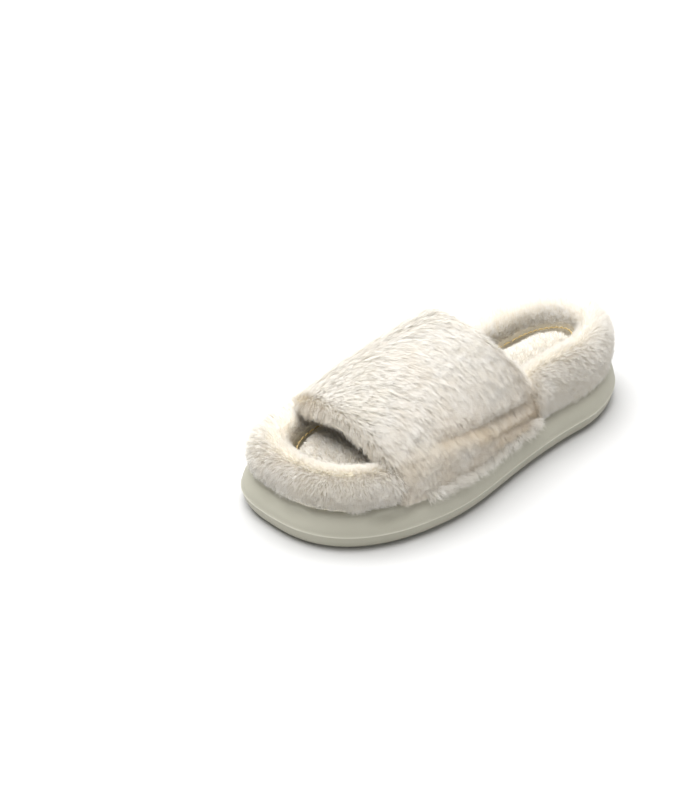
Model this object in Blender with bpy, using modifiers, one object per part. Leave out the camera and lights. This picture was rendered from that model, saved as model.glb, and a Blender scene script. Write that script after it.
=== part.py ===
"""Fluffy open-toe house slipper, left foot.

A moulded foam sole carries a stiff insole board. A fur-covered foam rim runs round the
footbed, and a wide fur strap bridges the instep and is tucked in between the sole's
shoulder and the board. Toe at -Y, heel at +Y, outer side of the foot at +X, floor at Z 0.
"""
import math

import bmesh
import bpy

# Outline of the sole, seen from above (metres)
SOLE_LENGTH = 0.265
BALL_WIDTH = 0.118
WAIST_WIDTH = 0.101
HEEL_WIDTH = 0.088
TOE_TO_BALL = 0.079       # toe tip back to the widest line
HEEL_TO_WIDEST = 0.058    # heel back forward to the widest line of the heel
TOE_SQUARENESS = 2.6      # superellipse power, 2 is a plain ellipse
HEEL_SQUARENESS = 1.9
TOE_LEAN = 0.014          # how far the toe bends to the inner side of the foot
LEAN_START = 0.038        # the bend begins this far behind the ball

# Moulded sole
SOLE_HEIGHT = 0.025
SOLE_EDGE_RADIUS = 0.006
SHOULDER_WIDTH = 0.0108   # flat land and rounded edge outside the board recess
GROOVE_WIDTH = 0.003
GROOVE_DEPTH = 0.0016
GROOVE_PITCH = 0.019
GROOVE_MARGIN = 0.015     # plain border left round the tread

# Clearances
FIT_GAP = 0.0003          # between pieces that touch
TUCK_GAP = 0.0006         # each side of the lining's margin in the channel round the board
TUCK_REST = 0.0013        # margin's lower edge stays this far above the recess floor
RIM_CLEARANCE = 0.0005    # between the rim, where it passes under the strap, and the lining

# Insole board and footbed
BOARD_THICKNESS = 0.003
TOE_FOAM_THICKNESS = 0.0045
HEEL_FOAM_THICKNESS = 0.0125
PLUSH_THICKNESS = 0.0062
PLUSH_EDGE_RADIUS = 0.0018

# Fur rim round the footbed
RIM_REACH = 0.028         # outline to the crease beside the footbed
RIM_OVERHANG_INSET = 0.0015
TOE_CREST_HEIGHT = 0.051
HEEL_CREST_HEIGHT = 0.0595
COVER_THICKNESS = 0.004
RIM_FADE = 0.016          # length over which the rim thins down before the strap
RIM_LEAD = 0.0005         # it is at its thinnest this far before the strap's edge
RIM_ROUNDNESS = 2.1

# Strap over the instep: where its two edges lie, from front to rear
STRAP_FRONT_OUTER = -0.084
STRAP_FRONT_CROWN = -0.087
STRAP_FRONT_INNER = -0.079
STRAP_REAR_OUTER = 0.038
STRAP_REAR_CROWN = 0.010
STRAP_REAR_INNER = 0.030
STRAP_FRONT_HEIGHT = 0.066
STRAP_REAR_HEIGHT = 0.097
STRAP_RISE_POWER = 1.8    # above 1 the crown rises early and flattens to the rear
STRAP_ROUNDNESS = 2.15
STRAP_EDGE_POWER = 1.5
FUR_THICKNESS = 0.0065
STRAP_FOAM_THICKNESS = 0.0036
LINING_THICKNESS = 0.0012
TAPE_THICKNESS = 0.0012
TAPE_WIDTH = 0.008
STRAP_EDGE_ALLOWANCE = 0.0105   # foam stops short of the strap's edges by this

# Sewing threads
SOCK_THREAD_RADIUS = 0.0006
LASTING_THREAD_RADIUS = 0.0004
STRAP_THREAD_RADIUS = 0.0005
STITCH_MARGIN = 0.005     # strap stitching lies this far in from the edge

# How finely the round shapes are divided
CAP_STEPS = 20
SIDE_STEPS = 7
RIM_STEPS = 7
ARCH_STEPS = 18
STITCH_FIRST_STEP = 4     # arch step where the strap stitching leaves the rim
STRAP_STEPS = 10

BALL_Y = -SOLE_LENGTH / 2 + TOE_TO_BALL
HEEL_Y = SOLE_LENGTH / 2 - HEEL_TO_WIDEST
DECK = SOLE_HEIGHT + FIT_GAP                      # what stands on the shoulder starts here
RECESS_FLOOR = SOLE_HEIGHT - BOARD_THICKNESS - FIT_GAP
LINING_DEPTH = SHOULDER_WIDTH + TUCK_GAP          # lining's outer face, in from the outline
BOARD_INSET = LINING_DEPTH + LINING_THICKNESS + TUCK_GAP


def clear_scene():
    for item in list(bpy.data.objects):
        bpy.data.objects.remove(item, do_unlink=True)


def make_collection(name):
    group = bpy.data.collections.new(name)
    bpy.context.scene.collection.children.link(group)
    return group


def make_material(name, colour, roughness, metallic=0.0):
    material = bpy.data.materials.new(name)
    material.use_nodes = True
    shader = material.node_tree.nodes["Principled BSDF"]
    shader.inputs["Base Color"].default_value = (*colour, 1.0)
    shader.inputs["Roughness"].default_value = roughness
    shader.inputs["Metallic"].default_value = metallic
    return material


def smooth_step(value):
    value = min(max(value, 0.0), 1.0)
    return value * value * (3.0 - 2.0 * value)


def signed_power(value, power):
    return math.copysign(abs(value) ** power, value)


# ---- Outline -------------------------------------------------------------------------

def toe_bend(y):
    share = max(0.0, (BALL_Y + LEAN_START - y) / (TOE_TO_BALL + LEAN_START))
    return -TOE_LEAN * share * share


def half_width(y, inset):
    """Half the width of the outline at y, on the line that lies inset inside the edge."""
    ball = BALL_WIDTH / 2 - inset
    waist = WAIST_WIDTH / 2 - inset
    heel = HEEL_WIDTH / 2 - inset
    if y < BALL_Y:
        reach = min((BALL_Y - y) / (TOE_TO_BALL - inset), 1.0)
        return ball * (1 - reach ** TOE_SQUARENESS) ** (1 / TOE_SQUARENESS)
    if y > HEEL_Y:
        reach = min((y - HEEL_Y) / (HEEL_TO_WIDEST - inset), 1.0)
        return heel * (1 - reach ** HEEL_SQUARENESS) ** (1 / HEEL_SQUARENESS)
    share = (y - BALL_Y) / (HEEL_Y - BALL_Y)
    hollow = (ball + heel) / 2 - waist
    return ball + (heel - ball) * smooth_step(share) - hollow * math.sin(math.pi * share) ** 2


def outline_point(turn, inset):
    """Point on the inset outline. turn 0-1 rounds the toe from the outer side, 1-2 runs
    down the inner side, 2-3 rounds the heel and 3-4 returns up the outer side."""
    turn %= 4.0
    if turn < 1.0:
        angle = math.pi * turn
        across = signed_power(math.cos(angle), 2 / TOE_SQUARENESS)
        y = BALL_Y - (TOE_TO_BALL - inset) * abs(math.sin(angle)) ** (2 / TOE_SQUARENESS)
        return centre_line(y) + (BALL_WIDTH / 2 - inset) * across, y
    if turn < 2.0:
        y = BALL_Y + (HEEL_Y - BALL_Y) * (turn - 1.0)
        return centre_line(y) - half_width(y, inset), y
    if turn < 3.0:
        angle = math.pi * (turn - 2.0)
        across = -signed_power(math.cos(angle), 2 / HEEL_SQUARENESS)
        y = HEEL_Y + (HEEL_TO_WIDEST - inset) * abs(math.sin(angle)) ** (2 / HEEL_SQUARENESS)
        return centre_line(y) + (HEEL_WIDTH / 2 - inset) * across, y
    y = HEEL_Y - (HEEL_Y - BALL_Y) * (turn - 3.0)
    return centre_line(y) + half_width(y, inset), y


def centre_line(y):
    return toe_bend(y) - SIDE_BALANCE


def all_turns():
    turns = []
    for quarter, steps in ((0, CAP_STEPS), (1, SIDE_STEPS), (2, CAP_STEPS), (3, SIDE_STEPS)):
        turns += [quarter + step / steps for step in range(steps)]
    return turns


def side_balance(samples=2000):
    """Middle of the unshifted outline across X, so that the box is centred on the origin."""
    spans = []
    for step in range(samples + 1):
        y = -SOLE_LENGTH / 2 + SOLE_LENGTH * step / samples
        spans += [toe_bend(y) - half_width(y, 0.0), toe_bend(y) + half_width(y, 0.0)]
    return (min(spans) + max(spans)) / 2


SIDE_BALANCE = side_balance()


# ---- Makers --------------------------------------------------------------------------

def finish(piece, material, group):
    piece.data.materials.clear()
    piece.data.materials.append(material)
    for owner in list(piece.users_collection):
        owner.objects.unlink(piece)
    group.objects.link(piece)
    piece.data.shade_smooth()
    piece.data.set_sharp_from_angle(angle=math.radians(40))
    return piece


def curve_to_mesh(curve, name):
    """Turn a curve object into a welded mesh object, and remove the curve."""
    bpy.context.view_layer.update()
    evaluated = curve.evaluated_get(bpy.context.evaluated_depsgraph_get())
    mesh = bpy.data.meshes.new_from_object(evaluated)
    placing = curve.matrix_world.copy()
    bpy.data.objects.remove(curve, do_unlink=True)
    piece = bpy.data.objects.new(name, mesh)
    piece.matrix_world = placing
    bpy.context.scene.collection.objects.link(piece)
    work = bmesh.new()
    work.from_mesh(mesh)
    bmesh.ops.remove_doubles(work, verts=work.verts, dist=0.00001)
    bmesh.ops.recalc_face_normals(work, faces=work.faces)
    work.to_mesh(mesh)
    work.free()
    return piece


def outline_curve(name, inset, half_height, turns, edge_radius=0.0, edge_steps=2):
    """The inset outline as a filled flat curve, extruded, with rounded edges."""
    data = bpy.data.curves.new(name, "CURVE")
    data.dimensions = "2D"
    data.fill_mode = "BOTH"
    data.extrude = half_height - edge_radius
    data.bevel_depth = edge_radius
    data.bevel_resolution = edge_steps
    points = [outline_point(turn, inset + edge_radius) for turn in turns]
    spline = data.splines.new("POLY")
    spline.points.add(len(points) - 1)
    for place, (x, y) in zip(spline.points, points):
        place.co = (x, y, 0.0, 1.0)
    spline.use_cyclic_u = True
    curve = bpy.data.objects.new(name, data)
    bpy.context.scene.collection.objects.link(curve)
    return curve


def slab(name, inset, bottom, top, turns):
    """A flat layer with the inset outline; bottom and top give its faces' heights at y."""
    piece = curve_to_mesh(outline_curve(name, inset, 0.5, turns), name)
    for vertex in piece.data.vertices:
        surface = top if vertex.co.z > 0 else bottom
        vertex.co.z = surface(vertex.co.y)
    return piece


def loft(name, rings, closed=False):
    """Skin a row of equal rings. An open loft's ends are closed by strips that join the
    first half of the end ring to its second half."""
    work = bmesh.new()
    rows = [[work.verts.new(point) for point in ring] for ring in rings]
    size = len(rows[0])
    pairs = list(zip(rows, rows[1:]))
    if closed:
        pairs.append((rows[-1], rows[0]))
    for first, second in pairs:
        for index in range(size):
            after = (index + 1) % size
            work.faces.new((first[index], first[after], second[after], second[index]))
    if not closed:
        for row in (rows[0], rows[-1]):
            for index in range(size // 2 - 1):
                work.faces.new((row[index], row[index + 1], row[-2 - index], row[-1 - index]))
    bmesh.ops.recalc_face_normals(work, faces=work.faces)
    mesh = bpy.data.meshes.new(name)
    work.to_mesh(mesh)
    work.free()
    piece = bpy.data.objects.new(name, mesh)
    bpy.context.scene.collection.objects.link(piece)
    return piece


def thread(name, points, radius, cyclic):
    """A sewing thread: a thin round tube along the points."""
    data = bpy.data.curves.new(name, "CURVE")
    data.dimensions = "3D"
    data.bevel_depth = radius
    data.bevel_resolution = 0
    data.use_fill_caps = not cyclic
    spline = data.splines.new("POLY")
    spline.points.add(len(points) - 1)
    for place, point in zip(spline.points, points):
        place.co = (*point, 1.0)
    spline.use_cyclic_u = cyclic
    curve = bpy.data.objects.new(name, data)
    bpy.context.scene.collection.objects.link(curve)
    return curve_to_mesh(curve, name)


def cut(piece, cutter, group):
    """Take the cutter's shape out of the piece."""
    for owner in list(cutter.users_collection):
        owner.objects.unlink(cutter)
    group.objects.link(cutter)
    cutter.hide_render = True
    cutter.display_type = "WIRE"
    boolean = piece.modifiers.new(cutter.name, "BOOLEAN")
    boolean.operation = "DIFFERENCE"
    boolean.solver = "EXACT"
    boolean.object = cutter


# ---- Sole and footbed ----------------------------------------------------------------

def make_sole(group, cutters):
    body = outline_curve("sole", 0.0, SOLE_HEIGHT / 2, all_turns(), SOLE_EDGE_RADIUS, 2)
    body.location.z = SOLE_HEIGHT / 2
    sole = curve_to_mesh(body, "sole")
    recess = slab("recess_cutter", SHOULDER_WIDTH, lambda y: RECESS_FLOOR,
                  lambda y: SOLE_HEIGHT * 2, all_turns())
    cut(sole, recess, cutters)
    cut(sole, groove_cutter(), cutters)
    finish(sole, make_material("moulded_foam", (0.80, 0.76, 0.67), 0.6), group)


def groove_cutter():
    """Shallow grooves across the tread, spaced evenly about the middle of the sole."""
    work = bmesh.new()
    reach = SOLE_LENGTH / 2 - 2 * GROOVE_MARGIN
    count = int(reach / GROOVE_PITCH)
    for step in range(-count, count + 1):
        y = (step + 0.5) * GROOVE_PITCH
        width = 2 * half_width(y, GROOVE_MARGIN)
        made = bmesh.ops.create_cube(work, size=1.0)
        bmesh.ops.scale(work, verts=made["verts"], vec=(width, GROOVE_WIDTH, 2 * GROOVE_DEPTH))
        bmesh.ops.translate(work, verts=made["verts"], vec=(centre_line(y), y, 0.0))
    mesh = bpy.data.meshes.new("groove_cutter")
    work.to_mesh(mesh)
    work.free()
    cutter = bpy.data.objects.new("groove_cutter", mesh)
    bpy.context.scene.collection.objects.link(cutter)
    return cutter


def footbed_share(y):
    return (y + SOLE_LENGTH / 2) / SOLE_LENGTH


def foam_top(y):
    rise = HEEL_FOAM_THICKNESS - TOE_FOAM_THICKNESS
    return DECK + TOE_FOAM_THICKNESS + rise * footbed_share(y)


def plush_bottom(y):
    return foam_top(y) + FIT_GAP


def plush_top(y):
    return plush_bottom(y) + PLUSH_THICKNESS


def make_footbed(group):
    board = slab("insole_board", BOARD_INSET, lambda y: RECESS_FLOOR + FIT_GAP,
                 lambda y: SOLE_HEIGHT, all_turns())
    finish(board, make_material("fibreboard", (0.62, 0.53, 0.40), 0.85), group)
    inset = RIM_REACH + FIT_GAP
    turns = rim_turns()[0]      # the rim's own steps, so that the gap beside it stays even
    foam = slab("footbed_foam", inset, lambda y: DECK, foam_top, turns)
    finish(foam, make_material("footbed_foam", (0.86, 0.82, 0.70), 0.9), group)
    plush = slab("footbed_plush", inset, plush_bottom, plush_top, turns)
    bevel = plush.modifiers.new("rounded_edge", "BEVEL")
    bevel.width = PLUSH_EDGE_RADIUS
    bevel.segments = 2
    bevel.limit_method = "ANGLE"
    bevel.angle_limit = math.radians(50)
    finish(plush, make_material("footbed_plush", (0.86, 0.82, 0.72), 0.95), group)


# ---- Fur rim -------------------------------------------------------------------------

def strap_edges(angle):
    """Y of the front and rear edges at an angle round the arch, 0 at the outer base and pi
    at the inner base."""
    bow = abs(math.sin(angle)) ** STRAP_EDGE_POWER
    outer_side = angle < math.pi / 2
    front = STRAP_FRONT_OUTER if outer_side else STRAP_FRONT_INNER
    rear = STRAP_REAR_OUTER if outer_side else STRAP_REAR_INNER
    return front + (STRAP_FRONT_CROWN - front) * bow, rear + (STRAP_REAR_CROWN - rear) * bow


def edges_over_rim(outer_side):
    """Y of the strap's front edge where it passes over the rim's crease, and of its rear
    edge at the base: the rim is at its full size outside these two."""
    front = STRAP_FRONT_OUTER if outer_side else STRAP_FRONT_INNER
    across = 1.0 - RIM_REACH / half_width(front, 0.0)
    angle = math.acos(across ** (STRAP_ROUNDNESS / 2))
    front = strap_edges(angle if outer_side else math.pi - angle)[0]
    return front, STRAP_REAR_OUTER if outer_side else STRAP_REAR_INNER


def rim_fullness(turn):
    """1 where the rim is at its full size, 0 where it is pressed small under the strap."""
    x, y = outline_point(turn, RIM_REACH / 2)
    front, rear = edges_over_rim(x > centre_line(y))
    ahead = (front - RIM_LEAD - y) / RIM_FADE
    behind = (y - rear - RIM_LEAD) / RIM_FADE
    return smooth_step(max(ahead, behind, 0.0))


def tucked_crest():
    """Height at which the rim's half-round section passes under the lining, clear of it."""
    outer = BOARD_INSET + FIT_GAP
    middle, half = (outer + RIM_REACH) / 2, (RIM_REACH - outer) / 2
    heights = []
    for share in strap_shares():
        for step in range(1, 4 * ARCH_STEPS):
            angle = math.pi * step / (4 * ARCH_STEPS)
            front, rear = strap_edges(angle)
            y = front + (rear - front) * share
            x, y, z = arch_at(y, angle, LINING_DEPTH + LINING_THICKNESS)
            offset = abs(half_width(y, 0.0) - abs(x - centre_line(y)) - middle) / half
            if offset < 1.0:
                fullness = (1.0 - offset ** RIM_ROUNDNESS) ** (1 / RIM_ROUNDNESS)
                heights.append(DECK + (z - RIM_CLEARANCE - DECK) / fullness)
    return min(heights)


def rim_section(turn, skin):
    """Half-round section of the rim, skin deep inside its outer face, from the outer base
    over the crest to the crease."""
    full = rim_fullness(turn)
    crest = TOE_CREST_HEIGHT if outline_point(turn, 0.0)[1] < 0 else HEEL_CREST_HEIGHT
    tucked_inset = BOARD_INSET + FIT_GAP
    outer = tucked_inset + (RIM_OVERHANG_INSET - tucked_inset) * full
    height = TUCKED_CREST + (crest - TUCKED_CREST) * full - DECK - skin
    middle = (outer + RIM_REACH) / 2
    half = (RIM_REACH - outer) / 2 - skin
    section = []
    for step in range(RIM_STEPS + 1):
        angle = math.pi * step / RIM_STEPS
        inset = middle - half * signed_power(math.cos(angle), 2 / RIM_ROUNDNESS)
        x, y = outline_point(turn, inset)
        section.append((x, y, DECK + height * math.sin(angle) ** (2 / RIM_ROUNDNESS)))
    return section


def turn_at(y, outer_side):
    """Where the middle line of the rim passes y, on the outer or on the inner side."""
    if y < BALL_Y:
        reach = (BALL_Y - y) / (TOE_TO_BALL - RIM_REACH / 2)
        turn = math.asin(min(reach, 1.0) ** (TOE_SQUARENESS / 2)) / math.pi
        return turn if outer_side else 1.0 - turn
    if y > HEEL_Y:
        reach = (y - HEEL_Y) / (HEEL_TO_WIDEST - RIM_REACH / 2)
        turn = math.asin(min(reach, 1.0) ** (HEEL_SQUARENESS / 2)) / math.pi
        return 3.0 - turn if outer_side else 2.0 + turn
    share = (y - BALL_Y) / (HEEL_Y - BALL_Y)
    return 4.0 - share if outer_side else 1.0 + share


def rim_turns():
    """Steps round the rim, with even steps along each thinning toward the strap, and one
    at each joint between the two covers."""
    joint = (STRAP_FRONT_CROWN + STRAP_REAR_CROWN) / 2
    exact = []
    for outer_side in (True, False):
        front, rear = edges_over_rim(outer_side)
        for share in (0.0, 0.2, 0.4, 0.6, 0.8, 1.0):
            exact.append(turn_at(front - RIM_LEAD - share * RIM_FADE, outer_side))
            exact.append(turn_at(rear + RIM_LEAD + share * RIM_FADE, outer_side))
        exact.append(turn_at(joint, outer_side))
    spare = [turn for turn in all_turns() if min(abs(turn - each) for each in exact) > 0.02]
    return sorted(exact + spare), turn_at(joint, False), turn_at(joint, True)


def make_rim(group):
    fur = make_material("rim_fur", (0.90, 0.87, 0.80), 0.95)
    foam = make_material("rim_foam", (0.88, 0.84, 0.72), 0.9)
    turns, inner_joint, outer_joint = rim_turns()
    core = [rim_section(turn, COVER_THICKNESS + FIT_GAP) for turn in turns]
    finish(loft("rim_foam", core, closed=True), foam, group)
    end_gap = FIT_GAP / (HEEL_Y - BALL_Y)
    before = [turn for turn in turns if turn <= inner_joint]
    after = [turn - 4.0 for turn in turns if turn >= outer_joint]
    between = [turn for turn in turns if inner_joint < turn < outer_joint]
    toe_turns = after + before
    heel_turns = [inner_joint + end_gap] + between + [outer_joint - end_gap]
    for name, turns in (("toe_rim_cover", toe_turns), ("heel_rim_cover", heel_turns)):
        rings = []
        for turn in turns:
            inside = rim_section(turn, COVER_THICKNESS)
            rings.append(rim_section(turn, 0.0) + inside[::-1])
        finish(loft(name, rings), fur, group)


# ---- Strap ---------------------------------------------------------------------------

def arch_height(share):
    rise = STRAP_REAR_HEIGHT - STRAP_FRONT_HEIGHT
    return STRAP_FRONT_HEIGHT + rise * (1.0 - (1.0 - share) ** STRAP_RISE_POWER)


def arch_at(y, angle, depth):
    """Point of the strap at y and at an angle round it, depth inward from its outer face."""
    front, rear = strap_edges(angle)
    width = half_width(y, depth)
    height = arch_height((y - front) / (rear - front)) - depth - DECK
    x = centre_line(y) + width * signed_power(math.cos(angle), 2 / STRAP_ROUNDNESS)
    return x, y, DECK + height * abs(math.sin(angle)) ** (2 / STRAP_ROUNDNESS)


def strap_shares():
    """Steps from the front edge to the rear edge. The first and the last step are the edge
    allowances, so that every layer bends at the same places."""
    allowance = STRAP_EDGE_ALLOWANCE / (STRAP_REAR_CROWN - STRAP_FRONT_CROWN)
    middle = [allowance + (1.0 - 2.0 * allowance) * step / STRAP_STEPS
              for step in range(STRAP_STEPS + 1)]
    return [0.0] + middle + [1.0]


def strap_layer(name, depth, thickness, shares, drop=0.0):
    """One layer of the strap, between two depths; drop is a margin below the deck."""
    rings = []
    for share in shares:
        outer, inner = [], []
        for step in range(ARCH_STEPS + 1):
            angle = math.pi * step / ARCH_STEPS
            front, rear = strap_edges(angle)
            y = front + (rear - front) * share
            outer.append(arch_at(y, angle, depth))
            inner.append(arch_at(y, angle, depth + thickness))
        if drop > 0.0:
            for face in (outer, inner):
                face.insert(0, (*face[0][:2], DECK - drop))
                face.append((*face[-1][:2], DECK - drop))
        rings.append(outer + inner[::-1])
    return loft(name, rings)


def edge_strip(name, offset, width, depth, thickness):
    """A tape along a strap edge, offset from it as edge_at takes it."""
    rings = []
    for step in range(ARCH_STEPS + 1):
        angle = math.pi * step / ARCH_STEPS
        near = edge_at(angle, offset)
        far = near + math.copysign(width, offset)
        corners = ((near, depth), (far, depth), (far, depth + thickness),
                   (near, depth + thickness))
        rings.append([arch_at(y, angle, level) for y, level in corners])
    return loft(name, rings)


def edge_at(angle, offset):
    """Y of the line offset rearward from the front edge, or forward from the rear one."""
    front, rear = strap_edges(angle)
    return (front if offset > 0 else rear) + offset


def make_strap(group):
    shares = strap_shares()
    fur = strap_layer("strap_fur", 0.0, FUR_THICKNESS, shares)
    finish(fur, make_material("strap_fur", (0.89, 0.85, 0.78), 0.95), group)
    lining_margin = DECK - RECESS_FLOOR - TUCK_REST
    lining = strap_layer("strap_lining", LINING_DEPTH, LINING_THICKNESS, shares, lining_margin)
    finish(lining, make_material("lining_cloth", (0.80, 0.74, 0.64), 0.8), group)
    foam_depth = FUR_THICKNESS + FIT_GAP
    foam = strap_layer("strap_foam", foam_depth, STRAP_FOAM_THICKNESS, shares[1:-1])
    finish(foam, make_material("strap_foam", (0.88, 0.84, 0.72), 0.9), group)
    tape = make_material("cotton_tape", (0.85, 0.82, 0.75), 0.8)
    tape_depth = LINING_DEPTH - FIT_GAP - TAPE_THICKNESS
    for side, sign in (("front", 1), ("rear", -1)):
        strip = edge_strip(f"strap_{side}_tape", sign * STITCH_MARGIN / 4, TAPE_WIDTH,
                           tape_depth, TAPE_THICKNESS)
        finish(strip, tape, group)


# ---- Threads -------------------------------------------------------------------------

def make_threads(group):
    material = make_material("sewing_thread", (0.72, 0.60, 0.40), 0.7)
    inset = RIM_REACH + 2 * FIT_GAP
    crease = [outline_point(turn, inset) for turn in rim_turns()[0]]
    path = [(x, y, plush_top(y) + SOCK_THREAD_RADIUS) for x, y in crease]
    finish(thread("sock_thread", path, SOCK_THREAD_RADIUS, True), material, group)
    inset = (SHOULDER_WIDTH + BOARD_INSET) / 2
    level = RECESS_FLOOR + FIT_GAP / 2 + LASTING_THREAD_RADIUS
    path = [(*outline_point(turn, inset), level) for turn in all_turns()]
    finish(thread("lasting_thread", path, LASTING_THREAD_RADIUS, True), material, group)
    depth = LINING_DEPTH + LINING_THICKNESS + FIT_GAP + STRAP_THREAD_RADIUS
    for side, sign in (("front", 1), ("rear", -1)):
        path = []
        for step in range(STITCH_FIRST_STEP, ARCH_STEPS - STITCH_FIRST_STEP + 1):
            angle = math.pi * step / ARCH_STEPS
            path.append(arch_at(edge_at(angle, sign * STITCH_MARGIN), angle, depth))
        name = f"strap_{side}_thread"
        finish(thread(name, path, STRAP_THREAD_RADIUS, False), material, group)


TUCKED_CREST = tucked_crest()


def main():
    clear_scene()
    group = make_collection("fluffy_house_slipper")
    cutters = make_collection("cutters")
    make_sole(group, cutters)
    make_footbed(group)
    make_rim(group)
    make_strap(group)
    make_threads(group)


main()
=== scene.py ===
import math

import bmesh
import bpy
import numpy as np
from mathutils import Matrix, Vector
from mathutils.kdtree import KDTree


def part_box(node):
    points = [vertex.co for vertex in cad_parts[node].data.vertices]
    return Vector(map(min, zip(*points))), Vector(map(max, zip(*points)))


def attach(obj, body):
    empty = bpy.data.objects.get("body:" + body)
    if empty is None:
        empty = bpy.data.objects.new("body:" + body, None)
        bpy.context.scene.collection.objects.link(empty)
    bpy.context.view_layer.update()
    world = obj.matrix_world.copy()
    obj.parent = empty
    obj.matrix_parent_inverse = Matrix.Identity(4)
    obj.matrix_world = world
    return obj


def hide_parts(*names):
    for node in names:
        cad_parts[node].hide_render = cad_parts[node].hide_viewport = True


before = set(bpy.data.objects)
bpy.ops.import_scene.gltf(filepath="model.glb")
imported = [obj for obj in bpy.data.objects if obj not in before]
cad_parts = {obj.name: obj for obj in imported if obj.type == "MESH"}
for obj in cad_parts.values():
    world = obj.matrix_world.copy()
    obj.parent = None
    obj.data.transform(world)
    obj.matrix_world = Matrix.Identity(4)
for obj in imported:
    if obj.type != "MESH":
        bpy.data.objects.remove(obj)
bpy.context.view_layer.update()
soleLow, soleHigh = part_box("sole")

last = {
    "ballWidth": 0.118,
    "waistWidth": 0.101,
    "heelWidth": 0.088,
    "toeToBall": 0.079,       # toe tip back to the widest line
    "heelToWidest": 0.058,
    "toeSquareness": 2.6,     # superellipse power, 2 is a plain ellipse
    "heelSquareness": 1.9,
    "toeLean": 0.014,         # bend of the toe to the inner side
    "leanStart": 0.038,
}
soleLength = soleHigh.y - soleLow.y
soleTop = soleHigh.z
deck = soleTop + 0.0003       # what stands on the shoulder starts here
ballY = soleLow.y + last["toeToBall"]
heelY = soleHigh.y - last["heelToWidest"]


def signedPower(value, power):
    return np.sign(value) * np.abs(value) ** power


def smoothStep(value):
    value = np.clip(value, 0.0, 1.0)
    return value * value * (3.0 - 2.0 * value)


def mix(first, second, share):
    return first + (second - first) * share


def unit(vectors):
    return vectors / np.maximum(np.linalg.norm(vectors, axis=-1, keepdims=True), 1e-9)


def softNoise(points, size, seed, waves=7):
    # smooth random field, about -1 to 1, whose lumps are about size across
    rng = np.random.default_rng(seed)
    total = np.zeros(len(points))
    for _ in range(waves):
        heading = rng.normal(size=3)
        heading /= np.linalg.norm(heading)
        pitch = math.pi / size * rng.uniform(0.6, 1.5)
        total += np.sin(points @ heading * pitch + rng.uniform(0.0, 2.0 * math.pi))
    return total / math.sqrt(waves) * 0.9


# the outline of the last, with the same curves as the hard parts

def toeBend(y):
    share = np.maximum(0.0, (ballY + last["leanStart"] - y)
                       / (last["toeToBall"] + last["leanStart"]))
    return -last["toeLean"] * share * share


def halfWidth(y, inset=0.0):
    ball = last["ballWidth"] / 2 - inset
    waist = last["waistWidth"] / 2 - inset
    heel = last["heelWidth"] / 2 - inset
    front = np.clip((ballY - y) / (last["toeToBall"] - inset), 0.0, 1.0)
    rear = np.clip((y - heelY) / (last["heelToWidest"] - inset), 0.0, 1.0)
    toePower, heelPower = last["toeSquareness"], last["heelSquareness"]
    toe = ball * (1 - front ** toePower) ** (1 / toePower)
    cup = heel * (1 - rear ** heelPower) ** (1 / heelPower)
    share = np.clip((y - ballY) / (heelY - ballY), 0.0, 1.0)
    hollow = (ball + heel) / 2 - waist
    side = ball + (heel - ball) * smoothStep(share) - hollow * np.sin(np.pi * share) ** 2
    return np.where(y < ballY, toe, np.where(y > heelY, cup, side))


def findBalance():
    y = np.linspace(soleLow.y, soleHigh.y, 2001)
    spans = np.concatenate([toeBend(y) - halfWidth(y), toeBend(y) + halfWidth(y)])
    return (spans.min() + spans.max()) / 2


sideBalance = findBalance()


def centreLine(y):
    return toeBend(y) - sideBalance


def offCentre(points):
    return points[:, 0] - centreLine(points[:, 1])


def outlinePoints(turn, inset):
    # turn 0-1 rounds the toe from the outer side, 1-2 inner side, 2-3 heel, 3-4 outer side
    turn, inset = np.broadcast_arrays(np.asarray(turn, float) % 4.0, inset)
    angle = np.pi * (turn % 1.0)
    cosine, sine = np.cos(angle), np.abs(np.sin(angle))
    toePower, heelPower = 2 / last["toeSquareness"], 2 / last["heelSquareness"]
    toeY = ballY - (last["toeToBall"] - inset) * sine ** toePower
    toeX = centreLine(toeY) + (last["ballWidth"] / 2 - inset) * signedPower(cosine, toePower)
    cupY = heelY + (last["heelToWidest"] - inset) * sine ** heelPower
    cupX = centreLine(cupY) - (last["heelWidth"] / 2 - inset) * signedPower(cosine, heelPower)
    innerY = ballY + (heelY - ballY) * (turn - 1.0)
    innerX = centreLine(innerY) - halfWidth(innerY, inset)
    outerY = heelY - (heelY - ballY) * (turn - 3.0)
    outerX = centreLine(outerY) + halfWidth(outerY, inset)
    quarter = np.floor(turn).astype(int)
    x = np.choose(quarter, (toeX, innerX, cupX, outerX))
    y = np.choose(quarter, (toeY, innerY, cupY, outerY))
    return x, y


def evenTurns(count, start=0.0, end=4.0):
    # turns spaced evenly by length along the outline
    fine = np.linspace(start, end, 6001)
    x, y = outlinePoints(fine, 0.004)
    run = np.concatenate([[0.0], np.cumsum(np.hypot(np.diff(x), np.diff(y)))])
    return np.interp(np.linspace(0.0, run[-1], count), run, fine)


# makers

def addPiece(name, mesh):
    piece = bpy.data.objects.new(name, mesh)
    bpy.context.scene.collection.objects.link(piece)
    return piece


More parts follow.
